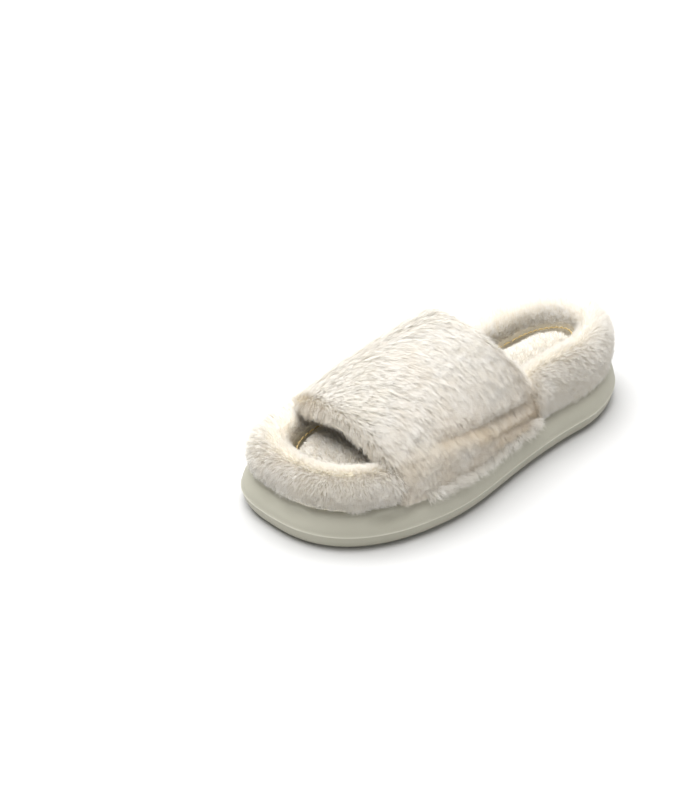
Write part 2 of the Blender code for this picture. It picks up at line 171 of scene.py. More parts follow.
def loft(name, rings, closed=False):
    # skin a row of equal rings; the ends of an open loft are filled
    work = bmesh.new()
    rows = [[work.verts.new(point) for point in ring] for ring in rings.tolist()]
    pairs = list(zip(rows, rows[1:]))
    if closed:
        pairs.append((rows[-1], rows[0]))
    size = len(rows[0])
    for first, second in pairs:
        for index in range(size):
            after = (index + 1) % size
            work.faces.new((first[index], first[after], second[after], second[index]))
    if not closed:
        for row in (rows[0], rows[-1]):
            middle = work.verts.new(sum((vertex.co for vertex in row), Vector()) / size)
            for index in range(size):
                work.faces.new((row[index], row[(index + 1) % size], middle))
    bmesh.ops.recalc_face_normals(work, faces=work.faces)
    mesh = bpy.data.meshes.new(name)
    work.to_mesh(mesh)
    work.free()
    mesh.shade_smooth()
    return addPiece(name, mesh)


def bakeModifiers(piece):
    # replace the mesh by what its modifiers make of it
    bpy.context.view_layer.update()
    made = bpy.data.meshes.new_from_object(
        piece.evaluated_get(bpy.context.evaluated_depsgraph_get()))
    old = piece.data
    piece.modifiers.clear()
    piece.data = made
    bpy.data.meshes.remove(old)
    made.name = piece.name


def vertexPlaces(mesh):
    places = np.empty(len(mesh.vertices) * 3, np.float32)
    mesh.vertices.foreach_get("co", places)
    return places.reshape(-1, 3).astype(float)


def setPlaces(mesh, places):
    mesh.vertices.foreach_set("co", places.astype(np.float32).ravel())
    mesh.update()


def plump(piece, look):
    # even the mesh out where asked, blow it up a little as stuffed cloth, and smooth it
    if "voxel" in look:
        remesh = piece.modifiers.new("evenMesh", "REMESH")
        remesh.mode = "VOXEL"
        remesh.voxel_size = look["voxel"]
        level = piece.modifiers.new("levelSteps", "SMOOTH")
        level.factor = 0.5
        level.iterations = 12
        bakeModifiers(piece)
    rest = vertexPlaces(piece.data)
    held = piece.vertex_groups.new(name="held")
    low = np.nonzero(rest[:, 2] < look["heldBelow"])[0].tolist()
    held.add(low, 1.0, "REPLACE")
    cloth = piece.modifiers.new("stuffing", "CLOTH")
    cloth.settings.quality = 6
    cloth.settings.mass = look["mass"]
    cloth.settings.tension_stiffness = look["stretchStiffness"]
    cloth.settings.compression_stiffness = look["stretchStiffness"]
    cloth.settings.bending_stiffness = 0.4
    cloth.settings.use_pressure = True
    cloth.settings.uniform_pressure_force = look["pressure"]
    cloth.settings.vertex_group_mass = "held"
    cloth.settings.effector_weights.gravity = 0.0
    cloth.point_cache.frame_start = 1
    cloth.point_cache.frame_end = 20
    for step in range(1, 21):
        bpy.context.scene.frame_set(step)
    bpy.context.view_layer.update()
    swollen = piece.evaluated_get(bpy.context.evaluated_depsgraph_get()).data
    move = vertexPlaces(swollen) - rest
    size = np.linalg.norm(move, axis=1, keepdims=True)
    move *= np.minimum(1.0, look["mostMove"] / np.maximum(size, 1e-9))
    piece.modifiers.clear()
    piece.vertex_groups.clear()
    bpy.context.scene.frame_set(1)
    rest = rest + move
    print(f"  {piece.name}: stuffing moved the cloth {size.mean() * 1000:.1f} mm on average")
    rest[:, 2] = np.maximum(rest[:, 2], look["lowest"])
    setPlaces(piece.data, rest)
    smooth = piece.modifiers.new("smooth", "SUBSURF")
    smooth.levels = 1
    smooth.render_levels = 1
    bakeModifiers(piece)
    piece.data.shade_smooth()
    return piece


def coverPad(pad, slot, node):
    pad.data.materials.clear()
    pad.data.materials.append(backing)
    return stand(pad, slot, node)


def stand(piece, slot, *nodes):
    # the piece takes the place of CAD nodes and moves with the slipper
    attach(piece, "root")
    if nodes:
        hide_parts(*nodes)
    return piece


# materials

def newMaterial(name, roughness):
    material = bpy.data.materials.new(name)
    material.use_nodes = True
    shader = material.node_tree.nodes["Principled BSDF"]
    shader.inputs["Roughness"].default_value = roughness
    return material, shader


def addNode(material, kind, **values):
    node = material.node_tree.nodes.new(kind)
    for name, value in values.items():
        if name in node.inputs:
            node.inputs[name].default_value = value
        else:
            setattr(node, name, value)
    return node


def join(material, source, target):
    material.node_tree.links.new(source, target)


def separate(material, source):
    node = addNode(material, "ShaderNodeSeparateXYZ")
    join(material, source, node.inputs["Vector"])
    return node.outputs


def objectPlace(material):
    return addNode(material, "ShaderNodeTexCoord").outputs["Object"]


def ramp(material, source, stops):
    node = addNode(material, "ShaderNodeValToRGB")
    elements = node.color_ramp.elements
    while len(elements) < len(stops):
        elements.new(0.5)
    for element, (place, colour) in zip(elements, stops):
        element.position = place
        element.color = (*colour, 1.0)
    join(material, source, node.inputs["Fac"])
    return node.outputs["Color"]


def noise(material, scale, detail=3.0, roughness=0.5):
    node = addNode(material, "ShaderNodeTexNoise", Scale=scale, Detail=detail,
                   Roughness=roughness)
    join(material, objectPlace(material), node.inputs["Vector"])
    return node.outputs["Fac"]


def blendColours(material, first, second, share, way="MIX"):
    node = addNode(material, "ShaderNodeMix", data_type="RGBA", blend_type=way)
    for socket, value in ((node.inputs[0], share), (node.inputs[6], first),
                          (node.inputs[7], second)):
        if isinstance(value, bpy.types.NodeSocket):
            join(material, value, socket)
        elif isinstance(value, float):
            socket.default_value = value
        else:
            socket.default_value = (*value, 1.0)
    return node.outputs[2]


def addBump(material, shader, source, distance, strength=1.0):
    node = addNode(material, "ShaderNodeBump", Strength=strength, Distance=distance)
    join(material, source, node.inputs["Height"])
    if shader.inputs["Normal"].is_linked:
        join(material, shader.inputs["Normal"].links[0].from_socket, node.inputs["Normal"])
    join(material, node.outputs["Normal"], shader.inputs["Normal"])


def furMaterial(name, look):
    # each hair runs from root at V 0 to tip at V 1, and U is its own random number
    material, shader = newMaterial(name, look["roughness"])
    hair = separate(material, addNode(material, "ShaderNodeUVMap", uv_map="hair").outputs["UV"])
    along = ramp(material, hair["Y"], look["rootToTip"])
    patches = ramp(material, noise(material, look["patchScale"], 2.0), look["patches"])
    tinted = blendColours(material, along, patches, 1.0, "MULTIPLY")
    each = ramp(material, hair["X"], look["hairToHair"])
    tinted = blendColours(material, tinted, each, 1.0, "MULTIPLY")
    shade = separate(material, addNode(material, "ShaderNodeUVMap", uv_map="shade").outputs["UV"])
    # painted shade: the shade UV's U blends in a golden multiply of the hair colour
    golden = blendColours(material, tinted, look["paintedShade"], 1.0, "MULTIPLY")
    tinted = blendColours(material, tinted, golden, shade["X"])
    streaks = ramp(material, shade["Y"], look["streaks"])
    tinted = blendColours(material, tinted, streaks, 1.0, "MULTIPLY")
    join(material, tinted, shader.inputs["Base Color"])
    shader.inputs["Sheen Weight"].default_value = look["sheen"]
    shader.inputs["Sheen Roughness"].default_value = 0.5
    shader.inputs["Sheen Tint"].default_value = (1.0, 0.98, 0.95, 1.0)
    shader.inputs["Specular IOR Level"].default_value = 0.2
    through = addNode(material, "ShaderNodeBsdfTranslucent")
    join(material, tinted, through.inputs["Color"])
    both = addNode(material, "ShaderNodeMixShader")
    both.inputs["Fac"].default_value = look["through"]
    join(material, shader.outputs["BSDF"], both.inputs[1])
    join(material, through.outputs["BSDF"], both.inputs[2])
    output = material.node_tree.nodes["Material Output"]
    join(material, both.outputs["Shader"], output.inputs["Surface"])
    return material


def backingMaterial(name, colour, darker):
    # the knitted backing that the hair grows from
    material, shader = newMaterial(name, 0.95)
    grain = noise(material, 420.0, 4.0, 0.6)
    join(material, ramp(material, grain, ((0.3, darker), (0.7, colour))),
         shader.inputs["Base Color"])
    addBump(material, shader, grain, 0.0006, 0.8)
    shader.inputs["Specular IOR Level"].default_value = 0.1
    return material


# hair

clump = {
    "wave": 2.6,              # how far one wobble runs along a hair
    "pullRange": (0.4, 1.2),  # locks and tufts pull their hair together by this much more or less
    "pullPower": 1.6,         # and mostly toward the tips
    "groundSpread": 0.0012,
    "tuftTint": 0.65,         # share of the streak colour that a whole tuft has in common
    "widthRange": (0.7, 0.6),
    "most": 190000,           # triangles in one piece
}


def triangleTable(mesh):
    mesh.calc_loop_triangles()
    corners = np.empty(len(mesh.loop_triangles) * 3, np.int32)
    mesh.loop_triangles.foreach_get("vertices", corners)
    corners = corners.reshape(-1, 3)
    places = vertexPlaces(mesh)
    normals = np.empty(len(mesh.vertices) * 3, np.float32)
    mesh.vertices.foreach_get("normal", normals)
    return corners, places, normals.reshape(-1, 3).astype(float)


def scatterRoots(mesh, perSquareMillimetre, share, rng):
    # evenly spread points on the mesh, thinned where share is below 1
    corners, places, normals = triangleTable(mesh)
    a, b, c = (places[corners[:, k]] for k in range(3))
    middle = (a + b + c) / 3.0
    facing = unit(np.cross(b - a, c - a))
    area = np.linalg.norm(np.cross(b - a, c - a), axis=1) / 2
    weight = area * np.clip(share(middle, facing), 0.0, 1.0)
    count = int(weight.sum() * 1e6 * perSquareMillimetre)
    steps = (np.arange(count) + rng.random(count)) / count * weight.sum()
    chosen = np.minimum(np.searchsorted(np.cumsum(weight), steps), len(weight) - 1)
    u, v = rng.random(count), rng.random(count)
    flip = u + v > 1.0
    u[flip], v[flip] = 1.0 - u[flip], 1.0 - v[flip]
    w = 1.0 - u - v
    mixed = [table[corners[chosen, 0]] * w[:, None] + table[corners[chosen, 1]] * u[:, None]
             + table[corners[chosen, 2]] * v[:, None] for table in (places, normals)]
    return mixed[0], unit(mixed[1])


def nearest(points, centres):
    tree = KDTree(len(centres))
    for index, point in enumerate(centres.tolist()):
        tree.insert(point, index)
    tree.balance()
    return np.array([tree.find(point)[1] for point in points.tolist()])


def growHair(mesh, look, fields, seed):
    # returns each hair's places from root to tip, its surface normal, chance number and tint (share
    # of painted shade, streak number)
    rng = np.random.default_rng(seed)
    roots, normals = scatterRoots(mesh, look["density"], fields["share"], rng)
    count = len(roots)
    lay = fields["comb"](roots, normals)
    lay = unit(lay - normals * np.sum(lay * normals, axis=1, keepdims=True))
    area = count / look["density"]
    locks = rng.choice(count, max(8, int(area / (look["lockSize"] * 1000) ** 2)), replace=False)
    tufts = rng.choice(count, max(8, int(area / (look["tuftSize"] * 1000) ** 2)), replace=False)
    inLock, inTuft = nearest(roots, roots[locks]), nearest(roots, roots[tufts])
    lockTurn = rng.normal(0.0, look["lockTurn"], len(locks))[inLock]
    tuftTurn = rng.normal(0.0, look["tuftTurn"], len(tufts))[inTuft]
    ownTurn = rng.normal(0.0, look["hairTurn"], count)
    drift = softNoise(roots, look["flowSize"], seed + 1) * look["flowTurn"]
    turn = (lockTurn + tuftTurn + ownTurn + drift)[:, None]
    lay = lay * np.cos(turn) + np.cross(normals, lay) * np.sin(turn)
    lift = (look["lift"] + rng.normal(0.0, look["liftSpread"], count)
            + rng.normal(0.0, look["liftSpread"], len(tufts))[inTuft])
    if "lift" in fields:
        lift = lift + fields["lift"](roots, normals)
    lift = np.clip(lift, 0.05, 1.5)[:, None]
    tipLift = lift * look["tipLift"]
    length = look["length"] * (1.0 + rng.normal(0.0, look["lengthSpread"], count)
                               + rng.normal(0.0, look["lengthSpread"], len(tufts))[inTuft])
    length *= fields["length"](roots, normals) if "length" in fields else 1.0
    length = np.clip(length, look["length"] * 0.25, look["length"] * 1.7)[:, None]
    atRoot = lay * np.cos(lift) + normals * np.sin(lift)
    atTip = lay * np.cos(tipLift) + normals * np.sin(tipLift)
    atTip = unit(atTip + np.array([0.0, 0.0, -look["droop"]]))
    wobble = rng.normal(0.0, look["wobble"], (count, 3))
    steps = np.array(look["steps"])
    nodes = np.empty((count, len(steps), 3))
    for index, t in enumerate(steps):
        nodes[:, index] = (roots + length * (atRoot * (t - t * t / 2) + atTip * t * t / 2)
                           + length * wobble * math.sin(t * clump["wave"]))
    free = nodes.copy()
    gather = fields["gather"](roots) if "gather" in fields else 1.0
    for group, members, pull in ((locks, inLock, look["lockPull"]),
                                 (tufts, inTuft, look["tuftPull"])):
        strength = (pull * rng.uniform(*clump["pullRange"], len(group)))[members] * gather
        for index, t in enumerate(steps):
            leader = free[group, index][members]
            share = (strength * t ** clump["pullPower"])[:, None]
            nodes[:, index] += (leader - nodes[:, index]) * share
    if "ground" in fields:
        ground = fields["ground"](roots) + rng.uniform(0.0, clump["groundSpread"], count)
        nodes[:, :, 2] = np.maximum(nodes[:, :, 2], ground[:, None])
    tint = np.zeros((count, 2))
    if "paintedShade" in fields:
        tint[:, 0] = fields["paintedShade"](roots)
    tint[:, 1] = (clump["tuftTint"] * rng.random(len(tufts))[inTuft]
                  + (1.0 - clump["tuftTint"]) * rng.random(count))
    return nodes, normals, rng.random(count), tint


def hairMesh(name, nodes, normals, chance, tint, look):
    # flat tapering ribbons, turned to face outward, shaded with the fur's own roundness
    count, steps = nodes.shape[:2]
    rng = np.random.default_rng(count)
    forward = np.empty_like(nodes)
    forward[:, :-1] = nodes[:, 1:] - nodes[:, :-1]
    forward[:, -1] = forward[:, -2]
    forward = unit(forward)
    roll = rng.normal(0.0, look["roll"], count)[:, None]
    widths = np.array(look["taper"]) * look["width"] / 2
    sides, shades = [], []
    for index in range(steps):
        across = unit(np.cross(forward[:, index], normals))
        face = unit(np.cross(across, forward[:, index]))
        across = across * np.cos(roll) + face * np.sin(roll)
        thin, more = clump["widthRange"]
        sides.append(across * widths[index] * (thin + more * chance[:, None]))
        shade = unit(np.cross(across, forward[:, index]))
        shade *= np.sign(np.sum(shade * normals, axis=1, keepdims=True) + 1e-9)
        shades.append(unit(normals * look["roundShade"] + shade * (1.0 - look["roundShade"])
                           + np.array([0.0, 0.0, look["upShade"]])))
    perHair = 2 * (steps - 1) + 1
    places = np.empty((count, perHair, 3))
    shading = np.empty((count, perHair, 3))
    uv = np.empty((count, perHair, 2))
    uv[:, :, 0] = chance[:, None]
    for index in range(steps - 1):
        places[:, 2 * index] = nodes[:, index] - sides[index]
        places[:, 2 * index + 1] = nodes[:, index] + sides[index]
        shading[:, 2 * index] = shading[:, 2 * index + 1] = shades[index]
        uv[:, 2 * index, 1] = uv[:, 2 * index + 1, 1] = look["steps"][index]
    places[:, -1], shading[:, -1], uv[:, -1, 1] = nodes[:, -1], shades[-1], 1.0
    first = np.arange(count)[:, None] * perHair
    quads = [first + np.array([[2 * k, 2 * k + 1, 2 * k + 3, 2 * k + 2]])
             for k in range(steps - 2)]
    tips = first + np.array([[perHair - 3, perHair - 2, perHair - 1]])
    corners = np.concatenate([part.ravel() for part in quads] + [tips.ravel()])
    sizes = np.concatenate([np.full(count * (steps - 2), 4), np.full(count, 3)])
    starts = np.concatenate([[0], np.cumsum(sizes)[:-1]])
    mesh = bpy.data.meshes.new(name)
    mesh.vertices.add(count * perHair)
    mesh.vertices.foreach_set("co", places.astype(np.float32).ravel())
    mesh.loops.add(len(corners))
    mesh.loops.foreach_set("vertex_index", corners.astype(np.int32))
    mesh.polygons.add(len(sizes))
    mesh.polygons.foreach_set("loop_start", starts.astype(np.int32))
    mesh.update(calc_edges=True)
    for layer, values in (("hair", uv.reshape(-1, 2)), ("shade", np.repeat(tint, perHair, axis=0))):
        mesh.uv_layers.new(name=layer)
        flat = values[corners].astype(np.float32).ravel()
        mesh.uv_layers[layer].data.foreach_set("uv", flat)
    mesh.shade_smooth()
    mesh.normals_split_custom_set_from_vertices(shading.reshape(-1, 3))
    return mesh


def coatWithHair(base, name, look, fields, seed, material, slot):
    nodes, normals, chance, tint = growHair(base.data, look, fields, seed)
    pieces = []
    parts = max(1, math.ceil(len(nodes) * (2 * len(look["steps"]) - 3) / clump["most"]))
    for part in range(parts):
        own = slice(part, None, parts)
        label = name if parts == 1 else f"{name}_{part + 1}"
        mesh = hairMesh(label, nodes[own], normals[own], chance[own], tint[own], look)
        mesh.materials.append(material)
        piece = addPiece(label, mesh)
        stand(piece, slot)
        pieces.append(piece)
    print(f"  {name}: {len(nodes)} hairs in {parts} piece(s)")
    return pieces


# camera, light and floor

view = {
    "azimuth": 47.0,
    "elevation": 34.0,
    "distance": 2.6,
    "lens": 193.0,
    "slideRight": -0.0579,    # the aim, from the middle of the sole's underside
    "slideUp": 0.0315,
}


def setCamera():
    turn, tilt = math.radians(view["azimuth"]), math.radians(view["elevation"])
    back = Vector((math.sin(turn) * math.cos(tilt), -math.cos(turn) * math.cos(tilt),
                   math.sin(tilt)))
    right = Vector((math.cos(turn), math.sin(turn), 0.0))
    up = back.cross(right)
    data = bpy.data.cameras.new("camera")
    data.lens = view["lens"]
    data.sensor_width = 36.0
    data.clip_end = 50.0
    camera = bpy.data.objects.new("camera", data)
    bpy.context.scene.collection.objects.link(camera)
    aim = (Vector((-sideBalance, 0.0, 0.0)) + right * view["slideRight"]
           + up * view["slideUp"])
    camera.location = aim + back * view["distance"]
    camera.rotation_mode = "QUATERNION"
    camera.rotation_quaternion = back.to_track_quat("Z", "Y")
    bpy.context.scene.camera = camera


studio = {
    "skyLow": (0.95, 0.94, 0.92),     # a bright band round the horizon
    "skyHigh": (0.41, 0.403, 0.388),
    "bandTop": 0.20,                  # how high the band reaches, 1 is straight up
    "skyStrength": 0.95,
    "keySize": 2.2,
    "keyEnergy": 88.0,
    "keyPlace": (-0.38, 0.02, 1.8),
    "floorColour": (0.60, 0.60, 0.60),
}


def setStudio():
    scene = bpy.context.scene
    scene.view_settings.view_transform = "Standard"
    world = bpy.data.worlds.new("studio")
    world.use_nodes = True
    heading = addNode(world, "ShaderNodeTexCoord").outputs["Generated"]
    fade = ramp(world, separate(world, heading)["Z"],
                ((studio["bandTop"] * 0.6, studio["skyLow"]), (studio["bandTop"], studio["skyHigh"])))
    fade.node.color_ramp.interpolation = "EASE"
    background = world.node_tree.nodes["Background"]
    join(world, fade, background.inputs["Color"])
    background.inputs["Strength"].default_value = studio["skyStrength"]
    scene.world = world
    data = bpy.data.lights.new("overhead", "AREA")
    data.shape = "SQUARE"
    data.size = studio["keySize"]
    data.energy = studio["keyEnergy"]
    light = bpy.data.objects.new("overhead", data)
    light.location = studio["keyPlace"]
    light.rotation_mode = "QUATERNION"
    light.rotation_quaternion = (Vector(studio["keyPlace"])
                                 - Vector((0.0, 0.0, 0.04))).to_track_quat("Z", "Y")
    scene.collection.objects.link(light)
    mesh = bpy.data.meshes.new("floor")
    reach = 12.0
    mesh.from_pydata([(-reach, -reach, 0.0), (reach, -reach, 0.0), (reach, reach, 0.0),
                      (-reach, reach, 0.0)], [], [(0, 1, 2, 3)])
    floor = addPiece("floor", mesh)
    material, shader = newMaterial("paper", 0.9)
    shader.inputs["Base Color"].default_value = (*studio["floorColour"], 1.0)
    shader.inputs["Specular IOR Level"].default_value = 0.1
    mesh.materials.append(material)


# sole

sole = {
    "stations": 300,
    "colour": (0.42, 0.408, 0.335),
    "pale": (0.47, 0.458, 0.385),
    # painted highlight: the raised mould line is painted lighter, as where it catches the light
    "flashHighlightColour": (0.58, 0.568, 0.49),
    "flashHeight": 0.0104,    # middle of the raised line where the mould halves met
    "flashProud": 0.0005,
    "dentDepth": 0.0015,      # soft dents under the fur, round the toe
    "grooveWidth": 0.003,
    "grooveDepth": 0.0016,
    "groovePitch": 0.019,
    "grooveMargin": 0.015,
    "recessDepth": 0.0033,
}


def soleProfile():
    # inset and height, from the middle of the tread round the wall into the recess
    flash, proud = sole["flashHeight"], sole["flashProud"]
    floor = soleTop - sole["recessDepth"]
    return np.array([
        (0.0340, 0.0), (0.0240, 0.0), (0.0150, 0.0), (0.0100, 0.0), (0.0072, 0.0001),
        (0.0056, 0.0005), (0.0042, 0.0012), (0.0030, 0.0022), (0.0020, 0.0035),
        (0.0012, 0.0052), (0.0007, 0.0070), (0.0004, 0.0086), (0.0003, flash - 0.0009),
        (0.0003 - proud * 0.6, flash - 0.0006), (0.0003 - proud, flash - 0.0002),
        (0.0003 - proud, flash + 0.0002), (0.0003 - proud * 0.6, flash + 0.0006),
        (0.0003, flash + 0.0009), (0.0004, 0.0128), (0.0007, 0.0146), (0.0012, 0.0165),
        (0.0019, 0.0184), (0.0028, 0.0203), (0.0038, 0.0219), (0.0050, 0.0233),
        (0.0064, 0.0243), (0.0080, 0.0249), (0.0096, 0.0250), (0.0104, 0.0249),
        (0.0108, 0.0245), (0.0108, floor + 0.0004), (0.0112, floor), (0.0150, floor),
        (0.0240, floor), (0.0340, floor)])


def makeSole():
    profile = soleProfile()
    turns = evenTurns(sole["stations"] + 1)[:-1]
    rings = []
    for inset, height in profile:
        x, y = outlinePoints(turns, inset)
        rings.append(np.stack([x, y, np.full_like(x, height)], axis=1))
    rings = np.array(rings)
    wall = np.exp(-((profile[:, 1] - 0.0195) / 0.0035) ** 2) * (profile[:, 0] < 0.009)
    toward = outlinePoints(turns, 0.010)
    inward = unit(np.stack([toward[0], toward[1]], axis=1) - rings[12, :, :2])
    toeward = smoothStep((-rings[12, :, 1] - 0.045) / 0.05)
    spots = softNoise(rings[12], 0.017, 41)
    dents = np.maximum(0.0, spots - 0.15) * sole["dentDepth"] * toeward
    waves = softNoise(rings[12], 0.05, 42) * 0.00018
    for index in range(len(profile)):
        shift = dents * wall[index] + waves * (profile[index, 0] < 0.006)
        rings[index, :, :2] += inward * shift[:, None]
    piece = loft("moulded_sole", rings)
    cutter = grooveCutter()
    boolean = piece.modifiers.new("tread", "BOOLEAN")
    boolean.operation = "DIFFERENCE"
    boolean.solver = "EXACT"
    boolean.object = cutter
    bakeModifiers(piece)
    bpy.data.objects.remove(cutter, do_unlink=True)
    piece.data.materials.clear()
    piece.data.materials.append(soleMaterial())
    piece.data.shade_smooth()
    piece.data.set_sharp_from_angle(angle=math.radians(50))
    return stand(piece, "moulded_foam", "sole")


def grooveCutter():
    work = bmesh.new()
    reach = soleLength / 2 - 2 * sole["grooveMargin"]
    count = int(reach / sole["groovePitch"])
    for step in range(-count, count + 1):
        y = (step + 0.5) * sole["groovePitch"]
        width = 2 * float(halfWidth(np.array(y), sole["grooveMargin"]))
        made = bmesh.ops.create_cube(work, size=1.0)
        bmesh.ops.scale(work, verts=made["verts"],
                        vec=(width, sole["grooveWidth"], 2 * sole["grooveDepth"]))
        bmesh.ops.translate(work, verts=made["verts"],
                            vec=(float(centreLine(np.array(y))), y, 0.0))
    mesh = bpy.data.meshes.new("tread_cutter")
    work.to_mesh(mesh)
    work.free()
    return addPiece("tread_cutter", mesh)


def soleMaterial():
    material, shader = newMaterial("moulded_foam_skin", 0.55)
    cloudy = noise(material, 18.0, 4.0, 0.55)
    skin = ramp(material, cloudy, ((0.30, sole["colour"]), (0.72, sole["pale"])))
    # painted highlight: lighter colour within a fraction of a millimetre of the mould line's middle
    away = addNode(material, "ShaderNodeMath", operation="SUBTRACT")
    away.inputs[1].default_value = sole["flashHeight"]
    join(material, separate(material, objectPlace(material))["Z"], away.inputs[0])
    size = addNode(material, "ShaderNodeMath", operation="ABSOLUTE")
    join(material, away.outputs[0], size.inputs[0])
    band = addNode(material, "ShaderNodeMapRange", **{
        "From Min": 0.0003, "From Max": 0.0006, "To Min": 1.0, "To Max": 0.0})
    join(material, size.outputs[0], band.inputs["Value"])
    join(material, blendColours(material, skin, sole["flashHighlightColour"], band.outputs["Result"]),
         shader.inputs["Base Color"])
    pores = noise(material, 1400.0, 2.0, 0.6)
    addBump(material, shader, pores, 0.00012, 0.6)
    addBump(material, shader, noise(material, 160.0, 3.0, 0.5), 0.0003, 0.25)
    rough = addNode(material, "ShaderNodeMapRange", **{"To Min": 0.48, "To Max": 0.64})
    join(material, cloudy, rough.inputs["Value"])
    join(material, rough.outputs["Result"], shader.inputs["Roughness"])
    shader.inputs["Specular IOR Level"].default_value = 0.35
    return material


# rim, in two sewn covers over foam, that meet under the strap

rim = {
    "reach": 0.028,           # outline to the crease beside the footbed
    "overhang": 0.0018,       # inset of its widest line
    "toeCrest": 0.0500,
    "heelCrest": 0.0590,
    "tuckedCrest": 0.0395,
    "tuckedInset": 0.0135,
    "toeMiddle": 0.0362,      # height of the widest line
    "heelMiddle": 0.0400,
    "roundness": 2.0,
    "skin": 0.0040,           # room left for the hair
    "fade": 0.014,
    "fadeStart": -0.004,      # the narrowing runs on this far under the strap
    "rearLead": 0.010,        # and starts this much nearer behind it
    "foot": 42.0,             # degrees below the widest line where the section stands
    "footRise": 0.004,
    "joinGap": 0.002,         # between the two covers, as a share of a quarter round
}

strap = {
    "frontOuter": -0.084, "frontCrown": -0.087, "frontInner": -0.079,
    "rearOuter": 0.038, "rearCrown": 0.010, "rearInner": 0.030,
    "frontHeight": 0.066,
    "rearHeight": 0.097,
    "risePower": 1.8,
    "roundness": 2.15,
    "edgePower": 1.5,
    "hairRoom": 0.0040,       # backing lies this deep under the tips of the hair
    "edgeRoom": 0.0028,       # and this far inside the front and rear edges
    "padThickness": 0.0068,
    "liningDepth": 0.0114,
    "liningThickness": 0.0012,
    "liningSetBack": 0.0060,
    "foldRadius": 0.060,      # of the arch, where a fold's width is measured
    "folds": (                # on the outer side: places along Y, degrees round the arch
        {"y": (-0.066, -0.043, -0.017, 0.006, 0.034), "angle": (43, 35, 27, 22, 18),
         "depth": (0.0, 0.0014, 0.0032, 0.0042, 0.0038), "width": 0.0044},
        {"y": (-0.020, -0.004, 0.020, 0.036), "angle": (17, 15, 10, 8),
         "depth": (0.0, 0.0024, 0.0034, 0.0030), "width": 0.0034},
    ),
}


def strapEnds(outer):
    # where the strap's front and rear edges meet the sole on that side
    front = np.where(outer, strap["frontOuter"], strap["frontInner"])
    return front, np.where(outer, strap["rearOuter"], strap["rearInner"])


def crestAt(turn):
    y = outlinePoints(turn, 0.0)[1]
    return np.where(y < 0.0, rim["toeCrest"], rim["heelCrest"])


def rimFullness(turn):
    x, y = outlinePoints(turn, rim["reach"] / 2)
    front, rear = strapEnds(x > centreLine(y))
    ahead = (front - rim["fadeStart"] + rim["fade"] - y) / rim["fade"]
    behind = (y - rear - rim["fadeStart"] + rim["rearLead"]) / rim["fade"]
    return smoothStep(np.maximum(np.maximum(ahead, behind), 0.0))


def rimRings(turns, skin):
    rings = []
    power = 2 / rim["roundness"]
    foot = math.radians(rim["foot"])
    angles = np.linspace(-foot, math.radians(180.0 + rim["foot"]), 30)
    across = -signedPower(np.cos(angles), power)
    above = signedPower(np.sin(angles), power)
    full = rimFullness(turns)
    crest = mix(rim["tuckedCrest"], crestAt(turns), full) - skin
    y = outlinePoints(turns, 0.0)[1]
    middleHeight = np.where(y < 0.0, rim["toeMiddle"], rim["heelMiddle"])
    middleHeight = mix(deck + rim["footRise"], middleHeight, full)
    outer = mix(rim["tuckedInset"], rim["overhang"], full)
    middle = (outer + rim["reach"]) / 2
    half = (rim["reach"] - outer) / 2 - skin
    for index, turn in enumerate(turns):
        up = crest[index] - middleHeight[index]
        down = (middleHeight[index] - deck) / math.sin(foot) ** power
        x, y = outlinePoints(turn, middle[index] + half[index] * across)
        z = middleHeight[index] + np.where(above > 0.0, up * above, down * above)
        rings.append(np.stack([x, y, z], axis=1))
    return np.array(rings)


def turnAt(y, outerSide):
    fine = np.linspace(3.0, 4.0, 2001) if outerSide else np.linspace(1.0, 2.0, 2001)
    return float(fine[np.argmin(np.abs(outlinePoints(fine, rim["reach"] / 2)[1] - y))])


padding = {
    "pressure": 4.0,
    "mass": 0.002,            # of each cloth vertex, kg
    "stretchStiffness": 12.0,
    "mostMove": 0.0015,
    "heldBelow": deck + 0.0025,
    "lowest": deck,
}


def makeRim():
    joint = (strap["frontCrown"] + strap["rearCrown"]) / 2
    innerJoint, outerJoint = turnAt(joint, False), turnAt(joint, True)
    gap = rim["joinGap"]
    pads = []
    for name, node, start, end in (
            ("toe_rim_pad", "toe_rim_cover", outerJoint - 4.0 + gap, innerJoint - gap),
            ("heel_rim_pad", "heel_rim_cover", innerJoint + gap, outerJoint - gap)):
        turns = evenTurns(90, start, end)
        pad = plump(loft(name, rimRings(turns, rim["skin"])), padding)
        coverPad(pad, "rim_fur", node)
        pads.append(pad)
    return pads


# strap

def strapEdges(angle):
    bow = np.abs(np.sin(angle)) ** strap["edgePower"]
    front, rear = strapEnds(angle < math.pi / 2)
    return mix(front, strap["frontCrown"], bow), mix(rear, strap["rearCrown"], bow)


def archHeight(share):
    rise = strap["rearHeight"] - strap["frontHeight"]
    left = 1.0 - np.clip(share, 0.0, 1.0)
    return strap["frontHeight"] + rise * (1.0 - left ** strap["risePower"])


def archPoints(y, angle, depth):
    front, rear = strapEdges(angle)
    width = halfWidth(y, depth)
    height = archHeight((y - front) / (rear - front)) - depth - deck
    x = centreLine(y) + width * signedPower(np.cos(angle), 2 / strap["roundness"])
    z = deck + height * np.abs(np.sin(angle)) ** (2 / strap["roundness"])
    return np.stack([x, y, z], axis=-1)


def foldDepth(y, angle):
    total = np.zeros_like(y)
    for fold in strap["folds"]:
        centre = np.radians(np.interp(y, fold["y"], fold["angle"]))
        away = (angle - centre) * strap["foldRadius"]
        depth = np.interp(y, fold["y"], fold["depth"])
        total += depth * np.exp(-(away / fold["width"]) ** 2)
    return total


